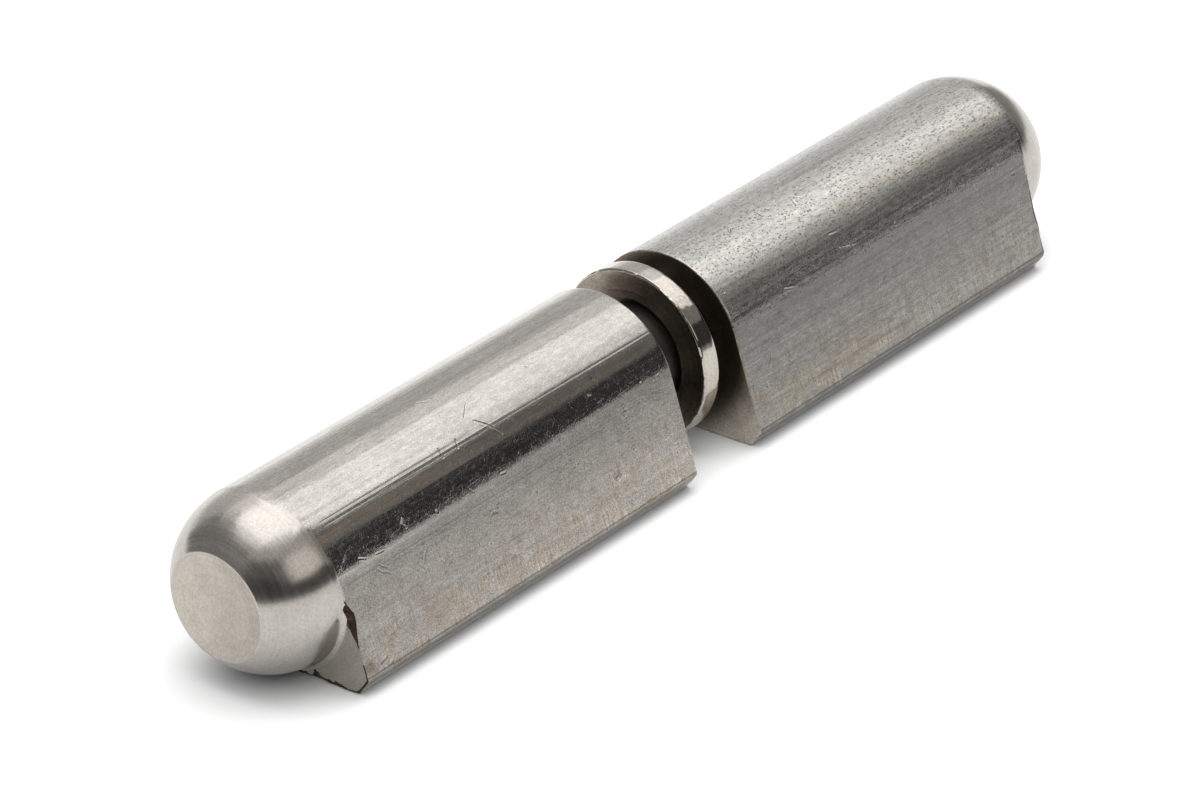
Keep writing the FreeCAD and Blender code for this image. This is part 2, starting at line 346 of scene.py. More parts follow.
def press_marks(bm, side, marks):
    """Presses scratches and dents, each a line with a width and a depth, into the outside.

    The work is kept short by sorting the marks into cells of 1 mm.
    """
    cells = {}
    for line, width, depth in marks:
        # Thin scratches go deep for their width, and no dent is wider than its mesh can show.
        depth *= 1.8 if width < 0.09 else 0.9
        width = min(1.2 * width, WIDEST_MARK)
        line = [Vector(p) for p in line]
        if len(line) == 1:
            line.append(line[0] + Vector((0.01, 0)))
        margin = 3.4 * width + 0.3
        columns = range(math.floor(min(p.x for p in line) - margin),
                        math.floor(max(p.x for p in line) + margin) + 1)
        rows = range(math.floor(min(p.y for p in line) - margin),
                     math.floor(max(p.y for p in line) + margin) + 1)
        for column in columns:
            for row in rows:
                cells.setdefault((column, row), []).append((line, width, depth))

    def marks_at(p):
        """The marks whose cells hold a point."""
        return cells.get((math.floor(p.x), math.floor(p.y)), ())

    near = set()
    for v in bm.verts:
        if on_outside(v.co, side):
            p = place_on_bar(v.co, side)
            if any(from_line(p, line) < 2.4 * width + 0.25 for line, width, _ in marks_at(p)):
                near.add(v)
    edges = [e for e in bm.edges if e.verts[0] in near and e.verts[1] in near]
    bmesh.ops.subdivide_edges(bm, edges=edges, cuts=3, use_grid_fill=True)
    bm.normal_update()
    moves, raw = [], set()
    for v in bm.verts:
        if not on_outside(v.co, side):
            continue
        p = place_on_bar(v.co, side)
        move = 0.0
        for line, width, depth in marks_at(p):
            d = from_line(p, line) / width
            scratch = width < 0.1 < (line[-1] - line[0]).length
            if d < 0.6 and scratch and p.y < unrolled(FLAT_FACES):
                raw.add(v)
            if d < 3.2:
                lip = 0.35 * math.exp(-((d - 1.8) / 0.6) ** 2)
                move += depth * (math.exp(-d * d) - lip)
        if move:
            moves.append((v, v.normal * move))
    for v, move in moves:
        v.co -= move
    for face in bm.faces:
        if face.material_index == SKIN and all(v in raw for v in face.verts):
            face.material_index = RAW


def finished(bm, name, body, materials, node, flats=28):
    """Makes a bmesh in millimetres a piece of the hinge, where it stands in the part's frame.

    Whatever dents and burrs have pushed out is held to the box of the solid that it replaces.
    """
    bmesh.ops.remove_doubles(bm, verts=bm.verts, dist=1e-4)
    bmesh.ops.dissolve_degenerate(bm, dist=1e-4, edges=bm.edges)
    bmesh.ops.recalc_face_normals(bm, faces=bm.faces)
    bmesh.ops.scale(bm, vec=(MM, MM, MM), verts=bm.verts)
    low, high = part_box(node)
    for v in bm.verts:
        v.co = [min(max(c, a), b) for c, a, b in zip(v.co, low, high)]
    mesh = bpy.data.meshes.new(name)
    bm.to_mesh(mesh)
    bm.free()
    for material in materials:
        mesh.materials.append(material)
    mesh.shade_smooth()
    mesh.set_sharp_from_angle(angle=math.radians(flats))
    piece = bpy.data.objects.new(name, mesh)
    bpy.context.scene.collection.objects.link(piece)
    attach(piece, body)
    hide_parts(node)


# Materials.

DRIED_OIL = "#c7a774"
PIT_DIRT = "#433e38"
RAW_METAL = "#d8d4ce"
# Sets across the bar and slanting, and the last one along it. Their cells are 0.07 to 0.08 mm
# wide and 0.8 to 3 mm long.
HANDLING_SCRATCHES = ((83, 14.0, 0.9), (62, 13.0, 1.2), (31, 14.0, 0.8), (-46, 13.0, 1.0),
                      (-74, 14.0, 1.3), (4, 12.0, 0.35))


def metal(name):
    """A bare metal as its material, node tree, shader and the places for its patterns.

    The places are in millimetres: solid from the pin's axis, unroll and line round the bar's
    outline, along the pin, and the radius from it.
    """
    material = bpy.data.materials.new(name)
    tree = blank_tree(material)
    place = add(tree, "TexCoord")
    centred = add(tree, "Mapping", {
        "Vector": place.outputs["Object"], "Location": (0, -PIVOT.y, -PIVOT.z),
        "Scale": (1 / MM,) * 3})
    # The outline is unrolled from the back of the wing's tip, round and flats alike.
    turned = add(tree, "Mapping", {
        "Vector": centred, "Rotation": (math.radians(-SEAM_TURN), 0, 0)})
    split = add(tree, "SeparateXYZ", turned)
    angle = add(tree, "Math", split.outputs["Z"], split.outputs["Y"], operation="ARCTAN2")
    arc = add(tree, "Math", angle, BARREL, operation="MULTIPLY")
    size = add(tree, "Math", arc, operation="ABSOLUTE")
    side = add(tree, "Math", arc, operation="SIGN")
    height = add(tree, "Math", split.outputs["Z"], operation="ABSOLUTE")
    lean = math.radians(FLAT_FACES - SEAM_TURN + 90)
    fall = add(tree, "Math", height, math.sin(lean), round_line(FLAT_FACES),
               operation="MULTIPLY_ADD")
    reach = add(tree, "Math", split.outputs["Y"], math.cos(lean), fall, operation="MULTIPLY_ADD")
    flat = add(tree, "Math", size, round_line(FLAT_FACES), operation="GREATER_THAN")
    along = add(tree, "Mix", {0: flat, 2: size, 3: reach}, data_type="FLOAT")
    line = add(tree, "Math", along, side, operation="MULTIPLY")
    square = add(tree, "VectorMath", turned, (0, 1, 1), operation="MULTIPLY")
    radius = add(tree, "VectorMath", square, operation="LENGTH")
    unroll = add(tree, "CombineXYZ", {
        "X": split.outputs["X"], "Y": line, "Z": radius.outputs["Value"]})
    at = {"solid": centred, "unroll": unroll, "line": line, "along": split.outputs["X"],
          "radius": radius.outputs["Value"]}
    shader = add(tree, "BsdfPrincipled", {"Metallic": 1.0})
    add(tree, "OutputMaterial", shader)
    return material, tree, shader, at


def round_line(angle):
    """Where a lengthwise line on the round lies in the unrolled outline, in millimetres."""
    return BARREL * math.radians(angle - SEAM_TURN)


def flat_line(distance):
    """The same for a line on the front flat, at a distance from where the round ends."""
    return round_line(FLAT_FACES) + distance


def hairlines(tree, unroll, directions, low, high):
    """The strongest of several sets of fine straight scratches, from 0 to 1.

    A set is its turn in degrees, and its noise cells per millimetre across and along it.
    """
    strongest = 0.0
    for turn, across, along in directions:
        lie = add(tree, "Mapping", {
            "Vector": unroll, "Rotation": (0, 0, math.radians(turn)),
            "Location": (turn * 0.37, turn * 0.11, 0)})
        drawn = add(tree, "Mapping", {"Vector": lie, "Scale": (along, across, 0.0)})
        streak = add(tree, "TexNoise", {
            "Vector": drawn, "Scale": 1.0, "Detail": 1.0, "Roughness": 0.4})
        thin = add(tree, "MapRange", {"Value": streak, "From Min": low, "From Max": high})
        strongest = add(tree, "Math", strongest, thin, operation="MAXIMUM")
    return strongest


def small_pits(tree, unroll, scale, share, size):
    """Round pits in a share of the cells of a scatter, 1 inside a pit; share may be a node.

    scale is in cells per millimetre, and size is the largest pit's radius against its cell.
    """
    cells = add(tree, "TexVoronoi", {"Vector": unroll, "Scale": scale})
    chosen = add(tree, "SeparateColor", cells.outputs["Color"])
    over = add(tree, "Math", chosen, share, operation="ADD")
    wide = add(tree, "MapRange", {"Value": over, "From Min": 1.0, "From Max": 1.3, "To Max": size})
    inside = add(tree, "Math", wide, cells.outputs["Distance"], operation="SUBTRACT")
    return add(tree, "MapRange", {"Value": inside, "From Max": size * 0.5})


def strip(tree, at, wander, start, end, line, half_width):
    """1 along a narrow strip of the outline, fading out at its sides and over its last 4 mm."""
    off = add(tree, "Math", wander, line, operation="SUBTRACT")
    off = add(tree, "Math", off, operation="ABSOLUTE")
    across = add(tree, "MapRange", {
        "Value": off, "From Min": half_width, "From Max": half_width * 0.3})
    far = add(tree, "Math", at["along"], (start + end) / 2, operation="SUBTRACT")
    far = add(tree, "Math", far, operation="ABSOLUTE")
    reach = abs(end - start) / 2
    within = add(tree, "MapRange", {
        "Value": far, "From Min": reach, "From Max": reach - min(reach, 4.0)})
    return add(tree, "Math", across, within, operation="MULTIPLY")


def drawn_bar(name, colour, warm, rough, flat_rough, speckle, flat_speckle, flat_painted_shade,
              pits_round, pits_flat, pit_scale, haze, die_lift, die_tone, dull_specks,
              flat_starts, painted_bands_and_lines, tints):
    """Cold-drawn stainless bar, which shows fine lengthwise lines, pits and handling scratches.

    pit_scale is in cells per millimetre, so at 4.4 the largest pits are drawn 0.2 mm across.
    The flats have their own roughness, speckle and share of pits. Their tone is a middle tone and
    painted shade, darker at the top of the flat and lighter towards the tip, set at the bar's two
    ends. flat_starts is where their duller skin begins: two places along the pin, and its angle at
    each. A strip is (start, end, line, half its width, tone): on the round it paints a highlight
    or shade onto a band that the skin reflects, and on the flat it is a dark line. A tint is the
    same with its strength last.
    """
    material, tree, shader, at = metal(name)
    # Patterns per millimetre along and round the bar: die lines 0.15 to 0.5 mm apart and
    # centimetres long, smears 1 mm long, clouds of 2 to 5 mm, and chatter 0.25 mm apart.
    drawn = []
    for scale, detail, coarse in (((0.03, 3.2, 0.0), 3.0, 0.65), ((1.1, 3.5, 0.0), 2.0, 0.6),
                                  ((0.22, 0.5, 0.0), 4.0, 0.6), ((3.8, 0.28, 0.0), 2.0, 0.6)):
        lie = add(tree, "Mapping", {"Vector": at["unroll"], "Scale": scale})
        drawn.append(add(tree, "TexNoise", {
            "Vector": lie, "Scale": 1.0, "Detail": detail, "Roughness": coarse}))
    die, smear, cloud, chatter = drawn
    # The skin's own grain is finer than a pixel, so it is drawn at 0.12 mm. Blotches of
    # old oil and cutting fluid are 1 to 3 mm across.
    skin, fine, blot = [
        add(tree, "TexNoise", {
            "Vector": at["solid"], "Scale": scale, "Detail": detail, "Roughness": coarse})
        for scale, detail, coarse in ((8.5, 2.5, 0.8), (9.0, 1.0, 0.6), (0.7, 3.0, 0.65))]
    # The duller skin of the flat starts at a ragged line near where the round ends.
    start_left, start_right, angle_left, angle_right = flat_starts
    begins = add(tree, "MapRange", {
        "Value": at["along"], "From Min": start_left, "From Max": start_right,
        "To Min": round_line(angle_left), "To Max": round_line(angle_right)})
    ragged_line = add(tree, "Math", smear, 0.5, at["line"], operation="MULTIPLY_ADD")
    past = add(tree, "Math", ragged_line, begins, operation="SUBTRACT")
    on_flat = add(tree, "MapRange", {
        "Value": past, "From Min": 0.15, "From Max": 1.25}, interpolation_type="SMOOTHSTEP")
    # Pits lie in drifts, and the round and the flat have their own share of them.
    share = add(tree, "MapRange", {"Value": on_flat, "To Min": pits_round, "To Max": pits_flat})
    drift = add(tree, "Math", cloud, 1.3, -0.65, operation="MULTIPLY_ADD")
    often = add(tree, "Math", share, drift, operation="ADD")
    pits = small_pits(tree, at["unroll"], pit_scale, often, 0.46)
    hair = hairlines(tree, at["unroll"], HANDLING_SCRATCHES, 0.68, 0.76)
    # Tone: grain, smears, clouds and die lines swing about one.
    swing = add(tree, "MapRange", {"Value": on_flat, "To Min": speckle, "To Max": flat_speckle})
    grain = add(tree, "Math", skin, 0.5, operation="SUBTRACT")
    tone = add(tree, "Math", grain, swing, 1.0, operation="MULTIPLY_ADD")
    # Fine chatter across the lower part of the flat.
    low_down = add(tree, "MapRange", {
        "Value": at["line"], "From Min": flat_line(3.5), "From Max": flat_line(6.5)})
    patchy = add(tree, "MapRange", {
        "Value": cloud, "From Min": 0.42, "From Max": 0.6, "To Max": 1.3})
    where = add(tree, "Math", low_down, patchy, operation="MULTIPLY")
    swung = add(tree, "Math", chatter, 0.5, operation="SUBTRACT")
    # Painted shade on the flat: darker at its top and lighter towards the tip, more so towards one
    # end of the bar.
    slope = add(tree, "MapRange", {
        "Value": at["line"], "From Min": flat_line(0.0), "From Max": flat_line(8.5),
        "To Min": -1.0, "To Max": 1.0})
    centre, swing_near, swing_far = flat_painted_shade
    steep = add(tree, "MapRange", {
        "Value": at["along"], "From Min": -45.0, "From Max": 45.0,
        "To Min": swing_near, "To Max": swing_far})
    level = add(tree, "Math", slope, steep, centre, operation="MULTIPLY_ADD")
    # A dark line where the flat turns into the tip, and painted shade on the tip's strip, which
    # reflects the paper in the hinge's shadow.
    wander = add(tree, "Math", smear, 0.12, at["line"], operation="MULTIPLY_ADD")
    from_edge = add(tree, "Math", wander, flat_line(8.82), operation="SUBTRACT")
    off_edge = add(tree, "Math", from_edge, operation="ABSOLUTE")
    stain = add(tree, "MapRange", {
        "Value": blot, "From Min": 0.50, "From Max": 0.62, "To Min": 1.0, "To Max": 0.9})
    factors = [
        add(tree, "Math", pattern, times, plus, operation="MULTIPLY_ADD")
        for pattern, times, plus in (
            (smear, 0.4 * speckle, 1 - 0.2 * speckle), (cloud, 0.5, 0.75),
            (die, die_tone, 1 - die_tone / 2), (swung, where, 1.0))]
    factors += [add(tree, "Mix", {0: on_flat, 2: 1.0, 3: there}, data_type="FLOAT")
                for there in (level, stain)]
    factors += [
        add(tree, "MapRange", {
            "Value": off_edge, "From Min": 0.04, "From Max": 0.14, "To Min": 0.5}),
        # Painted shade on the tip's strip, which looks down on the paper in the hinge's shadow.
        add(tree, "MapRange", {
            "Value": at["line"], "From Min": flat_line(8.75), "From Max": flat_line(9.0),
            "To Min": 1.0, "To Max": 0.56})]
    # On the round, a strip paints a highlight or shade onto a band that the skin reflects; on the
    # flat it is a dark line.
    for *place, lit in painted_bands_and_lines:
        lies = strip(tree, at, wander, *place)
        factors.append(add(tree, "Math", lies, lit - 1.0, 1.0, operation="MULTIPLY_ADD"))
    for factor in factors:
        tone = add(tree, "Math", tone, factor, operation="MULTIPLY")
    warmth = add(tree, "MapRange", {
        "Value": at["line"], "From Min": flat_line(2.0), "From Max": flat_line(7.5)})
    oily = add(tree, "MapRange", {"Value": blot, "From Min": 0.4, "From Max": 0.65})
    warmed = add(tree, "Math", warmth, oily, operation="MULTIPLY")
    base = add(tree, "Mix", {
        0: warmed, 6: linear(colour), 7: linear(warm)}, data_type="RGBA").outputs[2]
    for *place, deep in tints:
        lies = strip(tree, at, wander, *place)
        tinted = add(tree, "Math", lies, deep, operation="MULTIPLY")
        base = add(tree, "Mix", {
            0: tinted, 6: base, 7: linear(DRIED_OIL)}, data_type="RGBA").outputs[2]
    shaded = add(tree, "VectorMath", {0: base, 3: tone}, operation="SCALE")
    filled = add(tree, "Math", pits, 0.9, operation="MULTIPLY")
    pitted = add(tree, "Mix", {0: filled, 6: shaded, 7: linear(PIT_DIRT)}, data_type="RGBA")
    faint = add(tree, "Math", hair, 0.22, operation="MULTIPLY")
    bright = add(tree, "Mix", {
        0: faint, 6: pitted.outputs[2], 7: linear(RAW_METAL)}, data_type="RGBA")
    tree.links.new(bright.outputs[2], shader.inputs["Base Color"])
    # The flats are rougher than the round, and the skin between the die lines duller.
    streaky = add(tree, "MapRange", {
        "Value": die, "From Min": 0.3, "From Max": 0.7, "To Min": rough - 0.04,
        "To Max": rough + 0.04})
    whole = add(tree, "Mix", {0: on_flat, 2: streaky, 3: flat_rough}, data_type="FLOAT")
    # Dull specks thicken towards the flat, where the bar has rubbed on others.
    rubbed = add(tree, "MapRange", {
        "Value": at["line"], "From Min": round_line(136), "From Max": round_line(162),
        "To Max": dull_specks})
    speck = add(tree, "MapRange", {"Value": fine, "From Min": 0.45, "From Max": 0.75})
    drifts = add(tree, "MapRange", {"Value": smear, "From Min": 0.38, "From Max": 0.62})
    speck = add(tree, "Math", speck, drifts, operation="MULTIPLY")
    dull = add(tree, "Math", speck, rubbed, whole, operation="MULTIPLY_ADD")
    dull = add(tree, "Math", hair, 0.12, dull, operation="MULTIPLY_ADD")
    even = add(tree, "Math", fine, 0.08, dull, operation="MULTIPLY_ADD")
    tree.links.new(even.outputs[0], shader.inputs["Roughness"])
    # Heights in hundredths of a millimetre: die lines and grain stand up, pits and hairs go in.
    relief = add(tree, "Math", die, die_lift, operation="MULTIPLY")
    for pattern, lift in ((skin, haze), (fine, haze * 0.8), (hair, -0.2), (pits, -0.9)):
        relief = add(tree, "Math", pattern, lift, relief, operation="MULTIPLY_ADD")
    bump = add(tree, "Bump", {"Strength": 1.0, "Distance": 0.01 * MM, "Height": relief})
    tree.links.new(bump.outputs[0], shader.inputs["Normal"])
    return material


def turned_steel(name, dark, light, roughness, anisotropy, spacing, lift, mottle=0.3, oil_and_shade_hub=None,
                 worn=0.0):
    """Stainless turned on a lathe: rings round the axis that spread the highlights across.

    spacing is the distance from ring to ring and lift the height of the relief, in millimetres.
    The hub is a dark colour round the pin, of old oil and painted shade, and the two radii over
    which it fades out.
    """
    material, tree, shader, at = metal(name)
    ring_lie = add(tree, "Mapping", {
        "Vector": at["unroll"], "Scale": (1 / spacing, 0.03, 0.8 / spacing)})
    rings = add(tree, "TexNoise", {
        "Vector": ring_lie, "Scale": 1.0, "Detail": 3.0, "Roughness": 0.7})
    # The grain is drawn at 0.2 mm and the clouds at 2 mm.
    skin, cloud = [
        add(tree, "TexNoise", {
            "Vector": at["solid"], "Scale": scale, "Detail": detail, "Roughness": coarse})
        for scale, detail, coarse in ((4.5, 3.0, 0.75), (0.45, 4.0, 0.6))]
    blend = add(tree, "Math", rings, skin, operation="ADD")
    level = add(tree, "MapRange", {"Value": blend, "From Min": 0.7, "From Max": 1.3})
    shown = add(tree, "Mix", {
        0: level, 6: linear(dark), 7: linear(light)}, data_type="RGBA").outputs[2]
    if oil_and_shade_hub:
        # Oil and shade stay dark round the pin and fade out along the wing.
        hub_dark, inner, outer = oil_and_shade_hub
        fade = add(tree, "MapRange", {
            "Value": at["radius"], "From Min": inner, "From Max": outer},
            interpolation_type="SMOOTHSTEP")
        shown = add(tree, "Mix", {
            0: fade, 6: linear(hub_dark), 7: shown}, data_type="RGBA").outputs[2]
    place = add(tree, "SeparateXYZ", at["solid"])
    # One side of an end flat is painted brighter than the other: painted light that stands in for
    # how the reflection falls across it.
    tone = add(tree, "Math", place.outputs["Y"], worn, 1.0, operation="MULTIPLY_ADD")
    for pattern in (cloud, skin):
        factor = add(tree, "Math", pattern, mottle, 1 - mottle / 2, operation="MULTIPLY_ADD")
        tone = add(tree, "Math", tone, factor, operation="MULTIPLY")
    toned = add(tree, "VectorMath", {0: shown, 3: tone}, operation="SCALE")
    tree.links.new(toned.outputs[0], shader.inputs["Base Color"])
    rough = add(tree, "MapRange", {
        "Value": rings, "From Min": 0.3, "From Max": 0.7, "To Min": roughness - 0.04,
        "To Max": roughness + 0.04})
    tree.links.new(rough.outputs[0], shader.inputs["Roughness"])
    height = add(tree, "Math", skin, 0.5, rings, operation="MULTIPLY_ADD")
    bump = add(tree, "Bump", {"Strength": 1.0, "Distance": lift * MM, "Height": height})
    tree.links.new(bump.outputs[0], shader.inputs["Normal"])
    if anisotropy:
        # The tangent runs along the rings, and a quarter turn stretches highlights across them.
        shader.inputs["Anisotropic"].default_value = anisotropy
        shader.inputs["Anisotropic Rotation"].default_value = 0.25
        back = add(tree, "Math", place.outputs["Z"], -1.0, operation="MULTIPLY")
        round_axis = add(tree, "CombineXYZ", {"Y": back, "Z": place.outputs["Y"]})
        world = add(tree, "VectorTransform", round_axis,
                    vector_type="VECTOR", convert_from="OBJECT", convert_to="WORLD")
        tree.links.new(world.outputs[0], shader.inputs["Tangent"])
    return material


# Drawn skin kept bright: sharp reflections broken by short hairlines, with a painted highlight
# strip at the top of the black band and painted shade inside it, dirt lines on the flat, painted
# shade darker at the flat's top, and a tan film of dried oil.
smooth_bar = drawn_bar(
    "drawn_stainless_smooth", "#b2aea8", "#b5aa9c", rough=0.09, flat_rough=0.38, speckle=1.5,
    flat_speckle=2.6, flat_painted_shade=(0.97, 0.10, 0.52), pits_round=0.04, pits_flat=0.14,
    pit_scale=4.4, haze=0.16, die_lift=0.4, die_tone=0.45, dull_specks=0.3,
    flat_starts=(-45.0, -8.0, 162.5, 155.0),
    # The first strip is a painted highlight above the black band and the last is painted shade
    # inside it; the rest are dark lines and grime on the flat.
    painted_bands_and_lines=((-52.0, -27.0, round_line(126.6), 0.42, 1.32), (-52, -12, flat_line(0.85), 0.10, 0.78),
            (-46, -22, flat_line(1.2), 0.08, 0.8), (-30, -4, flat_line(0.6), 0.07, 0.85),
            (-36, -24, flat_line(6.6), 0.09, 0.85), (-49, -44.4, flat_line(8.1), 0.8, 0.62),
            (-33, 4, round_line(138.2), 0.75, 0.8)),
    tints=((-56.0, -31.0, round_line(139.5), 0.45, 0.26), (-36, -4, round_line(141.4), 0.14, 0.4)))
# Drawn skin etched dull: bands run softly into each other under a pepper of fine dark pits, and
# the die has left dark lengthwise lines. Strips paint shade and one highlight onto the bands that
# the round reflects, dark lines run on the flat, and the flat is painted darker at its top.
pitted_bar = drawn_bar(
    "drawn_stainless_pitted", "#b7b6b1", "#b8b0a5", rough=0.235, flat_rough=0.42, speckle=2.1,
    flat_speckle=1.9, flat_painted_shade=(0.72, 0.15, 0.15), pits_round=0.58, pits_flat=0.16,
    pit_scale=4.5, haze=0.7, die_lift=0.45, die_tone=0.8, dull_specks=0.3,
    flat_starts=(5.0, 45.0, 157.5, 158.5),
    painted_bands_and_lines=((0.0, 36.0, round_line(154.6), 0.24, 0.68), (4, 18, round_line(141.8), 0.14, 0.75),
            (18, 34, round_line(91.0), 0.3, 0.8), (6, 40, flat_line(2.2), 0.09, 0.84),
            (26, 50, flat_line(3.5), 0.08, 0.86), (3, 28, flat_line(7.3), 0.12, 0.86),
            (20, 46, round_line(148.5), 0.2, 0.85), (0, 54, round_line(160.6), 0.55, 0.83),
            (0, 54, round_line(150.0), 0.75, 1.34)),
    tints=((4.0, 26.0, flat_line(7.0), 1.9, 0.14), (20.0, 52.0, round_line(128.0), 0.7, 0.12)))
# Dome turned with a fine feed: satin, with highlights stretched from base to end flat.
turned_dome = turned_steel("turned_stainless_dome", "#aea9a2", "#c2bdb7", 0.23, 0.5, 0.22, 0.001,
                           mottle=0.28)
# Faced or sawn ends scatter what falls on them: matt, warm and a little blotched, with one side
# painted lighter.
faced_end = turned_steel("faced_stainless_end", "#aea89f", "#c2bbb1", 0.42, 0.0, 0.3, 0.003,
                         mottle=0.45, worn=0.03)
# Faces in the joint: matt grey on the wings, and brown round the pin with old oil and painted
# shade of the gap, where the faces reflect each other.
joint_face = turned_steel("faced_stainless_oiled_and_shaded", "#b0a89c", "#c6beb2", 0.36, 0.0, 0.35, 0.006,
                          mottle=0.9, oil_and_shade_hub=("#6c6257", 7.6, 9.8))
# The washer's faces have hardly been rubbed: old oil makes them brown and uneven, and their dark
# tone is also painted shade of the faces they reflect across the gaps.
washer_face = turned_steel("turned_washer_face_oiled_and_shaded", "#857b70", "#a0978b", 0.3, 0.0, 0.3, 0.005,
                           mottle=0.7)
# The washer's rim was turned bright and polished by handling: it mirrors the room in bands.
washer_rim = turned_steel("turned_washer_rim", "#aea8a0", "#c8c2b9", 0.10, 0.0, 0.35, 0.002,
                          mottle=0.35)
# The pin is plain rod, dull and grey with oil; its dark tone is also painted shade from the bore
# and the gap that it sits in.
pin_steel = turned_steel("dull_shaded_pin_steel", "#5f5c57", "#6f6c66", 0.42, 0.0, 0.4, 0.003)
# Where the wing's end tore, scale and dirt have filled the break, near black and matt; the same
# dark also paints the shadow in the gap under the broken edge.
torn_edge_and_shadow = turned_steel("torn_edge_scale_and_shadow", "#2c241d", "#55463a", 0.5, 0.0, 0.2, 0.02, mottle=1.5)
# Corners at the joint face are rubbed to a thin bright tan line.
rubbed_corner = turned_steel("rubbed_stainless_corner", "#8f8069", "#c4b8a4", 0.34, 0.0, 0.2,
                             0.004, mottle=1.3)
# Scratches are raw metal that scatters light: pale on the dark bands, grey on the bright ones.
scratched = turned_steel("scratched_stainless", "#b5b1aa", "#cfcbc4", 0.42, 0.0, 0.3, 0.004)


# The two halves.


def draw_line(angle, u):
    """The fine lines that the die left along the near half, in millimetres."""
    drift = 0.5 * noise.noise(Vector((u * 0.05, 0.0, 2.0)))
    # Angle and width in degrees, height in millimetres, and its two ends from the dome.
    lines = ((128.7, 0.6, 0.006, -9, 17), (130.1, 0.35, -0.008, -9, 13),
             (131.6, 0.42, 0.010, -9, 19), (133.2, 0.4, -0.006, -9, 60),
             (134.4, 0.3, 0.006, 25, 60), (135.3, 0.5, 0.005, -9, 15),
             (143.5, 0.5, 0.006, -9, 60), (107.0, 0.7, 0.003, -9, 60))
    lift, from_dome = 0.0, SHOULDER - u
    for place, width, height, start, end in lines:
        strong = 0.75 + 0.9 * noise.noise(Vector((u * 0.11, place, 0.0)))
        strong *= eased((from_dome - start) / 5) * (1 - eased((from_dome - end) / 8))
        lift += height * strong * math.exp(-((angle + drift - place) / width) ** 2)
    return lift


def plain_skin(angle, u):
    """The far half's die lines are too fine to model and are in its finish."""
    return 0.0


def torn_part(angle):
    """Where the sawn end of the near wing was torn, at the root of its edge."""
    return eased((angle - 179) / 4) * (1 - eased((angle - 187) / 15))


def near_chips(angle):
    """Length and depth broken off the near wing's end edge: torn, ragged under, else sharp."""
    if angle < EDGE_FROM or angle > EDGE_TO:
        return 0.0, 0.0
    torn = torn_part(angle)
    under = eased((angle - 219) / 4) * (1 - eased((angle - 262) / 6))
    bite = max(0.45 + 1.1 * ragged(angle, 3.1), 0.1)
    rough_edge = 0.03 * abs(ragged(angle, 7.7))
    return (min(0.05 + 0.5 * torn + 0.12 * under + rough_edge, EDGE_ZONE),
            0.03 + 0.36 * torn + 0.42 * under * bite + rough_edge)


def far_chips(angle):
    """The same for the far wing: a thin torn line down the front flat's end, and a worn corner."""
    if angle < EDGE_FROM or angle > EDGE_TO:
        return 0.0, 0.0
    corner = math.exp(-((angle - 209) / 4.5) ** 2) * 0.25
    torn = eased((angle - 181) / 7) * (1 - eased((angle - 199) / 5)) * (
        0.2 + 0.12 * ragged(angle * 1.5, 4.4))
    chip = min(0.06 + corner + torn + 0.08 * abs(ragged(angle, 11.3)), EDGE_ZONE)
    return chip, 0.7 * (chip - torn) + 0.3 * torn


def flat_at(distance):
    """Distance round the outline of a line on the front flat, from where the round ends."""
    return unrolled(FLAT_FACES) + distance


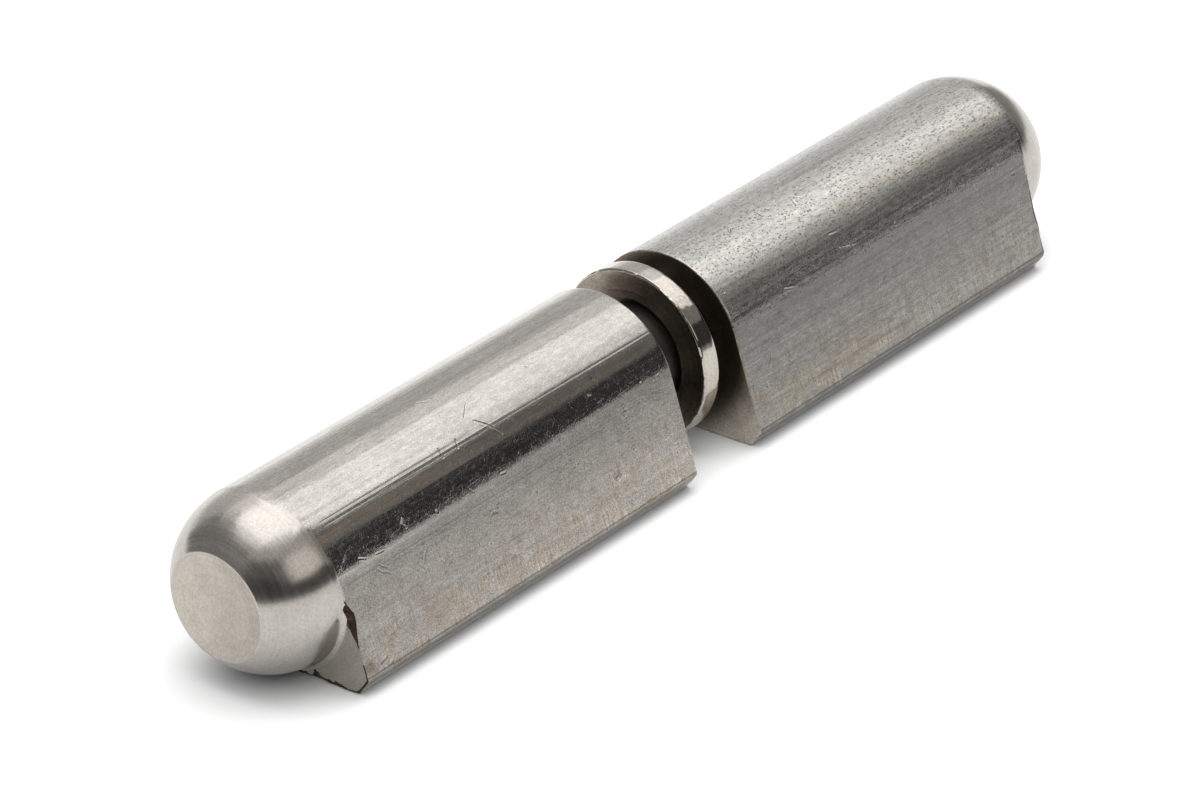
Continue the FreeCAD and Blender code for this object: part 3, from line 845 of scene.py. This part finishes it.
def near_marks():
    """What handling did to the near half: lines with their width and depth.

    Places are (distance from the shoulder, distance round the outline) in millimetres.
    """
    r, f = unrolled, flat_at
    drawn = [
        ([(8.6, r(100.6)), (9.4, r(99.8)), (10.5, r(98.4))], 0.10, 0.018),
        ([(18.3, r(93.5)), (19.0, r(97))], 0.08, 0.010),
        ([(20.1, r(120)), (21.5, r(112.5))], 0.06, 0.016),
        ([(20.6, r(125)), (21.4, r(131)), (22.3, r(140))], 0.08, 0.010),
        ([(15.6, r(128.5)), (15.5, r(134.5))], 0.06, 0.012),
        ([(17.7, r(129)), (17.4, r(134))], 0.06, 0.012),
        ([(29.3, r(112))], 0.11, 0.040),
        ([(8.5, r(152.5)), (8.2, r(155)), (8.5, r(157.5))], 0.07, 0.014),
        ([(1.0, r(157)), (1.5, r(153.5))], 0.05, 0.008),
        ([(2.7, r(159.5)), (3.3, r(161.5))], 0.06, 0.009),
        ([(4.6, r(162.5)), (5.4, r(163))], 0.06, 0.008),
        ([(4.2, f(0.9)), (4.9, f(1.6))], 0.06, 0.020),
        ([(4.6, f(0.7)), (5.3, f(1.3))], 0.06, 0.020),
        ([(4.9, f(1.4)), (5.5, f(1.9))], 0.06, 0.020),
        ([(9.4, f(2.6)), (9.8, f(1.9))], 0.15, 0.025),
        ([(17.9, f(2.25)), (18.2, f(2.05)), (18.7, f(2.2))], 0.09, 0.050),
        ([(12.2, r(159)), (12.3, r(160.4))], 0.07, 0.010),
        ([(15.8, r(154)), (16.8, r(161.5))], 0.04, 0.006),
        ([(20.3, r(160.5)), (20.8, r(161))], 0.07, 0.010),
        ([(28.6, f(2.4))], 0.12, 0.030), ([(29.2, f(2.3))], 0.10, 0.030),
        ([(33.1, f(5.4)), (33.6, f(5.25)), (33.6, f(4.8))], 0.08, 0.050),
        ([(36.4, f(2.6)), (39.2, f(6.0))], 0.05, 0.012),
        ([(27.2, r(157)), (27.3, r(161.5))], 0.04, 0.007),
        ([(24.0, f(4.6)), (24.6, f(4.3))], 0.06, 0.015),
        ([(9.4, f(1.2)), (9.9, f(1.15))], 0.06, 0.030),
        ([(34.0, r(139.5)), (34.2, r(141.5))], 0.05, 0.010),
        ([(32.6, r(147)), (33.0, r(147.6))], 0.05, 0.012),
        ([(40.4, r(161))], 0.16, 0.040), ([(41.1, r(159))], 0.12, 0.030),
        ([(39.9, f(0.3))], 0.10, 0.030), ([(38.9, r(157.5))], 0.09, 0.025),
        ([(0.7, f(7.6))], 0.14, 0.040), ([(1.9, f(8.1)), (2.6, f(7.9))], 0.10, 0.035),
        ([(2.9, f(8.6)), (3.2, f(8.5))], 0.12, 0.045), ([(20.4, f(5.5))], 0.08, 0.030),
        ([(20.5, f(6.3)), (20.5, f(7.0))], 0.05, 0.010),
        ([(11.4, r(70)), (12.6, r(70.5))], 0.25, 0.012),
    ]
    # A column of small dents down the flat, and faint scratches crossing it on both sides.
    dots = random.Random(5)
    for step in range(15):
        drawn.append(([(36.0 + dots.uniform(-0.12, 0.12), f(0.1 + 0.31 * step))],
                      dots.uniform(0.06, 0.1), dots.uniform(0.015, 0.04)))
    for _ in range(16):
        x, top = dots.uniform(31, 41), dots.uniform(-0.8, 1.2)
        run = dots.uniform(0.8, 2.6)
        drawn.append(([(x, f(top)), (x + dots.uniform(-0.1, 0.5), f(top + run))], 0.045,
                      dots.uniform(0.006, 0.012)))
    return [([(SHOULDER - x, s) for x, s in line], width, depth)
            for line, width, depth in drawn + far_side_marks(21)]


def far_marks():
    """What handling did to the far half; here the places start from its joint face."""
    r, f = unrolled, flat_at
    drawn = [
        ([(15.1, r(110.5)), (15.5, r(103.5))], 0.07, 0.018),
        ([(15.7, r(103.5)), (16.3, r(108.5))], 0.08, 0.018),
        ([(31.2, r(136)), (31.0, r(140))], 0.10, 0.018),
        ([(35.3, r(158)), (35.5, r(162))], 0.09, 0.015),
        ([(35.7, r(161)), (35.9, f(0.3))], 0.1, 0.015),
        ([(35.2, r(161)), (35.5, f(0.2))], 0.07, 0.012),
        ([(3.3, f(3.2)), (3.1, f(3.9))], 0.07, 0.020),
        ([(3.6, f(3.0)), (3.3, f(3.7))], 0.07, 0.020),
        ([(40.7, f(0.5)), (41.0, f(0.55))], 0.10, 0.040), ([(5.2, f(1.3))], 0.11, 0.040),
        ([(23.7, r(154.5))], 0.18, 0.030), ([(18.3, f(7.1))], 0.12, 0.030),
        ([(25.1, f(5.3)), (25.4, f(5.35))], 0.10, 0.015), ([(39.0, f(0.7))], 0.09, 0.015),
        ([(19.5, f(3.1)), (20.5, f(2.5))], 0.05, 0.012),
        ([(7.6, r(154)), (8.6, r(156))], 0.07, 0.015),
        ([(15.5, r(138.5)), (16.5, r(139.5))], 0.06, 0.012), ([(19.6, r(139.2))], 0.1, 0.015),
        ([(16.0, r(150)), (18.0, r(153.5))], 0.05, 0.010), ([(0.9, r(136))], 0.12, 0.035),
        ([(3.0, r(92))], 0.12, 0.030), ([(8.7, r(94.5))], 0.11, 0.030),
        ([(6.2, f(0.1))], 0.09, 0.030), ([(37.9, f(6.8))], 0.10, 0.030),
    ]
    return drawn + far_side_marks(34)


def far_side_marks(seed):
    """Scattered knocks and scratches round the back, where the bar has had the same handling."""
    pick = random.Random(seed)
    marks = []
    for _ in range(26):
        x, s = pick.uniform(2, 40), pick.uniform(unrolled(-60), unrolled(38))
        turn, run = pick.uniform(0, math.pi), pick.choice((0.0, 0.3, 0.8, 1.6, 2.4))
        marks.append(([(x, s), (x + run * math.cos(turn), s + run * math.sin(turn))],
                      0.05 if run > 1 else 0.1, pick.uniform(0.008, 0.03)))
    return marks


def half(name, body, side, surface, skin, marks, chips, node):
    """One half of the hinge, shaped from its blank, with its faces shared out to the finishes."""
    bm = spun(half_profile(), PIVOT, len(COLUMNS))
    pull_to_section(bm, side, surface, chips)
    bmesh.ops.remove_doubles(bm, verts=bm.verts, dist=1e-4)
    bmesh.ops.dissolve_degenerate(bm, dist=1e-4, edges=bm.edges)
    bmesh.ops.recalc_face_normals(bm, faces=bm.faces)
    for face in bm.faces:
        middle = face.calc_center_median()
        y, z = middle.y - PIVOT.y, middle.z - PIVOT.z
        u, r = side * middle.x - HALF_FACE, math.hypot(y, z)
        angle = math.degrees(math.atan2(z, y)) % 360
        # The slant is 1 on a face square to the pin and 0 on one along it.
        slant, outline = abs(face.normal.x), section_radius(angle)
        chip, bite = chips(angle)
        broken_to = outline - bite - 0.03
        finish = SKIN
        if u > SHOULDER + DOME_LENGTH - 0.001:
            finish = FACED
        elif r > BARREL + 0.25 and slant > 0.97:
            # Scale and dirt have crept in from the near wing's broken edge; the dark strip along
            # it also paints the shadow in the gap between that edge and the paper.
            lump = max(ragged(angle * 2.6, 5.5) + 0.45, 0.0) * eased((angle - 219) / 6)
            scale_and_shadow_width = 0.06 + 0.4 * lump if angle > 207 else torn_part(angle) * (
                0.45 + 0.5 * ragged(angle * 2.0, 8.5))
            in_dark_strip = side < 0 and angle < EDGE_TO and broken_to - r < scale_and_shadow_width
            finish = JOINT if u < 1 else TORN if in_dark_strip else FACED
        # Faces of the broken edge are dark with scale and with painted shadow: on the near wing
        # save between 201 and 207 degrees, on the far wing between 183 and 215.
        elif r > BARREL + 0.1 and u > SHOULDER - chip - 0.02 and r > broken_to and slant > 0.1:
            in_dark_line = not 201 < angle < 207 if side < 0 else 183 < angle < 215
            finish = TORN if in_dark_line else FACED
        elif r < BORE + 0.01 or u > SHOULDER and (
                u > skin_end(angle, side) or r > BARREL + 0.02 or angle > 150):
            finish = TURNED
        elif slant > 0.97 and u < 1 or r < MOUTH + 0.1:
            finish = JOINT
        elif slant > 0.2 and u < FACE_BREAK + 0.02:
            # The far half's corner at the joint is rubbed through in most places.
            finish = RUBBED if side > 0 and ragged(angle * 1.3, 2.2) > -0.12 else SKIN
        face.material_index = finish
    press_marks(bm, side, marks)
    skins = (skin, turned_dome, faced_end, joint_face, torn_edge_and_shadow, rubbed_corner, scratched)
    finished(bm, name, body, skins, node)


half("lower_half_bar", "lower_half", -1, draw_line, smooth_bar, near_marks(), near_chips,
     "lower_barrel")
half("upper_half_bar", "upper_half", 1, plain_skin, pitted_bar, far_marks(), far_chips,
     "upper_barrel")


# The pin and the washer.


def rod():
    """The hinge pin: plain round rod, chamfered at both ends."""
    rows = [(PIN_LEFT, 0.0), (PIN_LEFT, 2.0), (PIN_LEFT, PIN - PIN_CHAMFER)]
    rows += [(x, PIN) for x in spread(PIN_LEFT + PIN_CHAMFER, PIN_RIGHT - PIN_CHAMFER, 20)]
    rows += [(PIN_RIGHT - PIN_CHAMFER, PIN), (PIN_RIGHT, PIN - PIN_CHAMFER)]
    rows += [(PIN_RIGHT, 2.0), (PIN_RIGHT, 0.0)]
    bm = spun(rows, PIVOT, PIN_STEPS)
    finished(bm, "pin_rod", "pin", (pin_steel,), "hinge_pin")


def ring():
    """The thrust washer, bevelled and a little worn, leaning on the pin as it came to rest."""
    low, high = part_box("thrust_washer")
    centre = (Vector(low) + Vector(high)) / 2 / MM
    side, bevel = WASHER_THICK / 2, WASHER_BEVEL
    rows = [(-side, r) for r in spread(WASHER_BORE, WASHER - bevel, 8)]
    turn = [math.radians(a) for a in (0, 25, 50, 70, 90)]
    corner = [(bevel * (1 - math.sin(a)) * 0.8, bevel * (1 - math.cos(a))) for a in turn]
    rows += [(-side + x, WASHER - d) for x, d in reversed(corner)]
    rows += [(x, WASHER) for x in spread(-side + bevel, side - bevel, 9)]
    rows += [(side - x, WASHER - d) for x, d in corner]
    rows += [(side, 6.6), (side, WASHER_BORE), (0.0, WASHER_BORE)]
    bm = bmesh.new()
    verts = [bm.verts.new((x, 0.0, r)) for x, r in rows]
    edges = [bm.edges.new((verts[i], verts[(i + 1) % len(verts)])) for i in range(len(verts))]
    bmesh.ops.spin(bm, geom=verts + edges, cent=(0, 0, 0), axis=(1, 0, 0), angle=2 * math.pi,
                   steps=WASHER_STEPS, use_merge=True)
    bmesh.ops.remove_doubles(bm, verts=bm.verts, dist=1e-4)
    bmesh.ops.recalc_face_normals(bm, faces=bm.faces)
    for face in bm.faces:
        middle = face.calc_center_median()
        inner = math.hypot(middle.y, middle.z) < WASHER_BORE + 0.05
        face.material_index = 1 if inner or abs(face.normal.x) > 0.97 else 0
    for v in bm.verts:
        r, angle = math.hypot(v.co.y, v.co.z), math.degrees(math.atan2(v.co.z, v.co.y))
        grow = 0.0
        if WASHER - bevel - 0.01 < r < WASHER - bevel * 0.3 and v.co.x < 0:
            # The near bevel was scraped by hand, so its inner edge wanders.
            grow = 0.09 * (noise.noise(Vector((angle * 0.22, 0.0, 5.0))) - 0.15)
        elif r > WASHER - 0.05:
            # The rim is knocked all round, and most of all near the top.
            knock = noise.noise(Vector((angle * 0.3, v.co.x * 2.2, 9.0)))
            worn = math.exp(-((angle - 127) / 5) ** 2)
            spot = 0.04 * math.exp(-((angle - 119.5) / 7) ** 2)
            grow = -((0.003 + worn * 0.035) * max(knock, 0.0) + spot)
        scale = 1 + grow / r
        v.co.y, v.co.z = v.co.y * scale, v.co.z * scale
    bmesh.ops.rotate(bm, cent=(0, 0, 0), matrix=Matrix.Rotation(math.radians(WASHER_YAW), 3, "Z"),
                     verts=bm.verts)
    bmesh.ops.translate(bm, vec=centre, verts=bm.verts)
    finished(bm, "washer_ring", "washer", (washer_rim, washer_face), "thrust_washer",
             20)


rod()
ring()


# Floor, studio and camera.


def stage_mesh(name, bm, material, seen=True):
    """A piece of the studio. One that isn't seen shows in reflections and nowhere else."""
    mesh = bpy.data.meshes.new(name)
    bm.to_mesh(mesh)
    bm.free()
    mesh.materials.append(material)
    thing = bpy.data.objects.new(name, mesh)
    bpy.context.scene.collection.objects.link(thing)
    if not seen:
        thing.visible_camera = False
        thing.visible_diffuse = False
        thing.visible_shadow = False


def card(name, azimuths, elevations, distance, colour, strength):
    """An upright curved card that glows, between two azimuths and two elevations."""
    material = bpy.data.materials.new(name)
    tree = blank_tree(material)
    glow = add(tree, "Emission", {"Color": (*colour, 1.0), "Strength": strength})
    add(tree, "OutputMaterial", glow)
    bm = bmesh.new()
    start = math.radians(azimuths[0])
    ends = []
    for elevation in elevations:
        height = distance * math.tan(math.radians(elevation))
        ends.append(bm.verts.new((distance * math.cos(start), distance * math.sin(start), height)))
    edge = bm.edges.new(ends)
    bmesh.ops.spin(bm, geom=ends + [edge], cent=(0, 0, 0), axis=(0, 0, 1),
                   angle=math.radians(azimuths[1] - azimuths[0]), steps=24)
    stage_mesh(name, bm, material, seen=False)


def sees_background(tree):
    """1 for camera, glossy and transmission rays, 0 for the rays that light the hinge."""
    path = add(tree, "LightPath")
    seen = path.outputs["Is Camera Ray"]
    for ray in ("Is Glossy Ray", "Is Transmission Ray"):
        seen = add(tree, "Math", seen, path.outputs[ray], operation="MAXIMUM")
    return seen


# The paper: its tone to the camera and to the light, to light that has bounced once already,
# and how brightly the hinge's gloss sees it behind and in front.
GROUND_GAIN = 1.2
GROUND_TONE = 0.85
SECOND_BOUNCE = 0.08
GROUND_GLOW = 0.44
GROUND_GLOW_FRONT = 0.15


def white_ground():
    """White paper, shown a little over white, so that only the near shadow is left on it."""
    material = bpy.data.materials.new("white_ground")
    tree = blank_tree(material)
    path = add(tree, "LightPath")
    # Light that has bounced off the paper once finds it grey, which keeps the shadow deep.
    first = add(tree, "Math", path.outputs["Diffuse Depth"], 0.5, operation="LESS_THAN")
    grey = add(tree, "MapRange", {"Value": first, "To Min": SECOND_BOUNCE, "To Max": GROUND_TONE})
    level = add(tree, "Mix", {
        0: path.outputs["Is Camera Ray"], 2: grey, 3: GROUND_GAIN}, data_type="FLOAT")
    tone = add(tree, "CombineColor", level, level, level)
    paper = add(tree, "BsdfDiffuse", {"Color": tone})
    # Gloss sees bright paper behind the hinge and dim paper under and before it.
    place = add(tree, "TexCoord")
    back = add(tree, "VectorMath", place.outputs["Object"], (0.77, 0.64, 0.0),
               operation="DOT_PRODUCT")
    behind = add(tree, "MapRange", {
        "Value": back.outputs["Value"], "From Min": 0.03, "From Max": 0.25,
        "To Min": GROUND_GLOW_FRONT, "To Max": GROUND_GLOW})
    shown = add(tree, "Math", behind, path.outputs["Is Glossy Ray"], operation="MULTIPLY")
    shown = add(tree, "Math", shown, first, operation="MULTIPLY")
    glow = add(tree, "Emission", {"Color": (1, 1, 1, 1), "Strength": shown})
    both = add(tree, "AddShader", paper, glow)
    add(tree, "OutputMaterial", both)
    bm = bmesh.new()
    bmesh.ops.create_grid(bm, x_segments=1, y_segments=1, size=4.0)
    # A hundredth of a millimetre low, so that it and the hinge's under side don't coincide.
    bmesh.ops.translate(bm, vec=(0, 0, -0.00001), verts=bm.verts)
    stage_mesh("ground", bm, material)


def soft_lamp(name, place, turn, size, radiance):
    """A softbox that looks straight down, as bright all over its face as its radiance says."""
    light = bpy.data.lights.new(name, "AREA")
    light.shape = "RECTANGLE"
    light.size, light.size_y = size
    light.energy = radiance * 4 * size[0] * size[1]
    lamp = bpy.data.objects.new(name, light)
    bpy.context.scene.collection.objects.link(lamp)
    lamp.location = place
    lamp.rotation_euler = (0, 0, math.radians(turn))


def studio():
    """Two softboxes overhead, and round the hinge the cards and window that its skin reflects."""
    world = bpy.data.worlds.new("studio")
    bpy.context.scene.world = world
    tree = blank_tree(world)
    # The room is dark at the sides and light above, so the shadow stays close under the hinge.
    place = add(tree, "TexCoord")
    height = add(tree, "SeparateXYZ", place.outputs["Generated"])
    room = add(tree, "MapRange", {
        "Value": height.outputs["Z"], "From Min": 0.12, "From Max": 1.0, "To Max": 1.4})
    level = add(tree, "Mix", {0: sees_background(tree), 2: room, 3: 1.0}, data_type="FLOAT")
    sky = add(tree, "Background", {"Color": (1, 1, 1, 1), "Strength": level})
    add(tree, "OutputWorld", sky)
    soft_lamp("overhead_softbox", (0.303, -0.016, 0.62), -14, (1.08, 0.568), 0.77)
    soft_lamp("back_softbox", (0.33, 0.455, 0.62), -14, (1.0, 0.36), 0.33)
    # Azimuths and elevations in degrees, distance in metres, colour and strength.
    cards = (
        ("front_dark", (-170, -18), (-0.5, 25), 1.3, (0.97, 0.99, 1.0), 0.045),
        ("low_dark_left", (-170, -57), (0.05, 9), 0.2, (0.97, 0.99, 1.0), 0.045),
        ("low_dark_right", (-57, -18), (0.05, 4), 0.4, (0.97, 0.99, 1.0), 0.3),
        ("front_grey", (-60, -18), (25, 60), 1.3, (1.0, 0.97, 0.93), 0.26),
        ("beside_window", (-69, -57), (14, 45), 1.28, (1.0, 0.97, 0.9), 0.34),
        ("front_window", (-109, -69), (17, 45), 1.27, (1.0, 0.98, 0.92), 1.0),
        ("over_window", (-112, -57), (45, 60), 1.28, (1.0, 0.98, 0.95), 0.5),
        ("left_dark", (-170, -112), (25, 46), 1.3, (1.0, 0.98, 0.96), 0.12),
        ("left_high", (-170, -112), (46, 62), 1.3, (1.0, 0.98, 0.96), 0.55),
        ("left_side", (88, 190), (3, 60), 1.31, (1.0, 0.98, 0.96), 0.25),
        ("back_side", (-18, 88), (9, 60), 1.32, (1.0, 0.99, 0.98), 0.68),
        ("right_side", (-20, 22), (1.5, 33), 1.28, (1.0, 0.98, 0.96), 0.28))
    for settings in cards:
        card(*settings)


def viewpoint():
    """The photo's camera, worked out from the hinge's outline points and its sizes."""
    camera = bpy.data.cameras.new("camera")
    camera.sensor_fit = "HORIZONTAL"
    camera.sensor_width = 36.0
    camera.lens = 166.338
    camera.clip_start, camera.clip_end = 0.01, 20.0
    stand = bpy.data.objects.new("camera", camera)
    bpy.context.scene.collection.objects.link(stand)
    # Its own directions in the hinge's frame, and its place in metres.
    right = Vector((0.6282314, -0.77721479, -0.03553145))
    down = Vector((-0.38147783, -0.26790734, -0.88470352))
    ahead = Vector((0.67808553, 0.56935299, -0.46479801))
    turn = Matrix((right, -down, -ahead)).transposed().to_4x4()
    stand.matrix_world = Matrix.Translation((-0.32704091, -0.26944292, 0.22659239)) @ turn
    bpy.context.scene.camera = stand


white_ground()
studio()
viewpoint()
bpy.context.scene.view_settings.view_transform = "Standard"
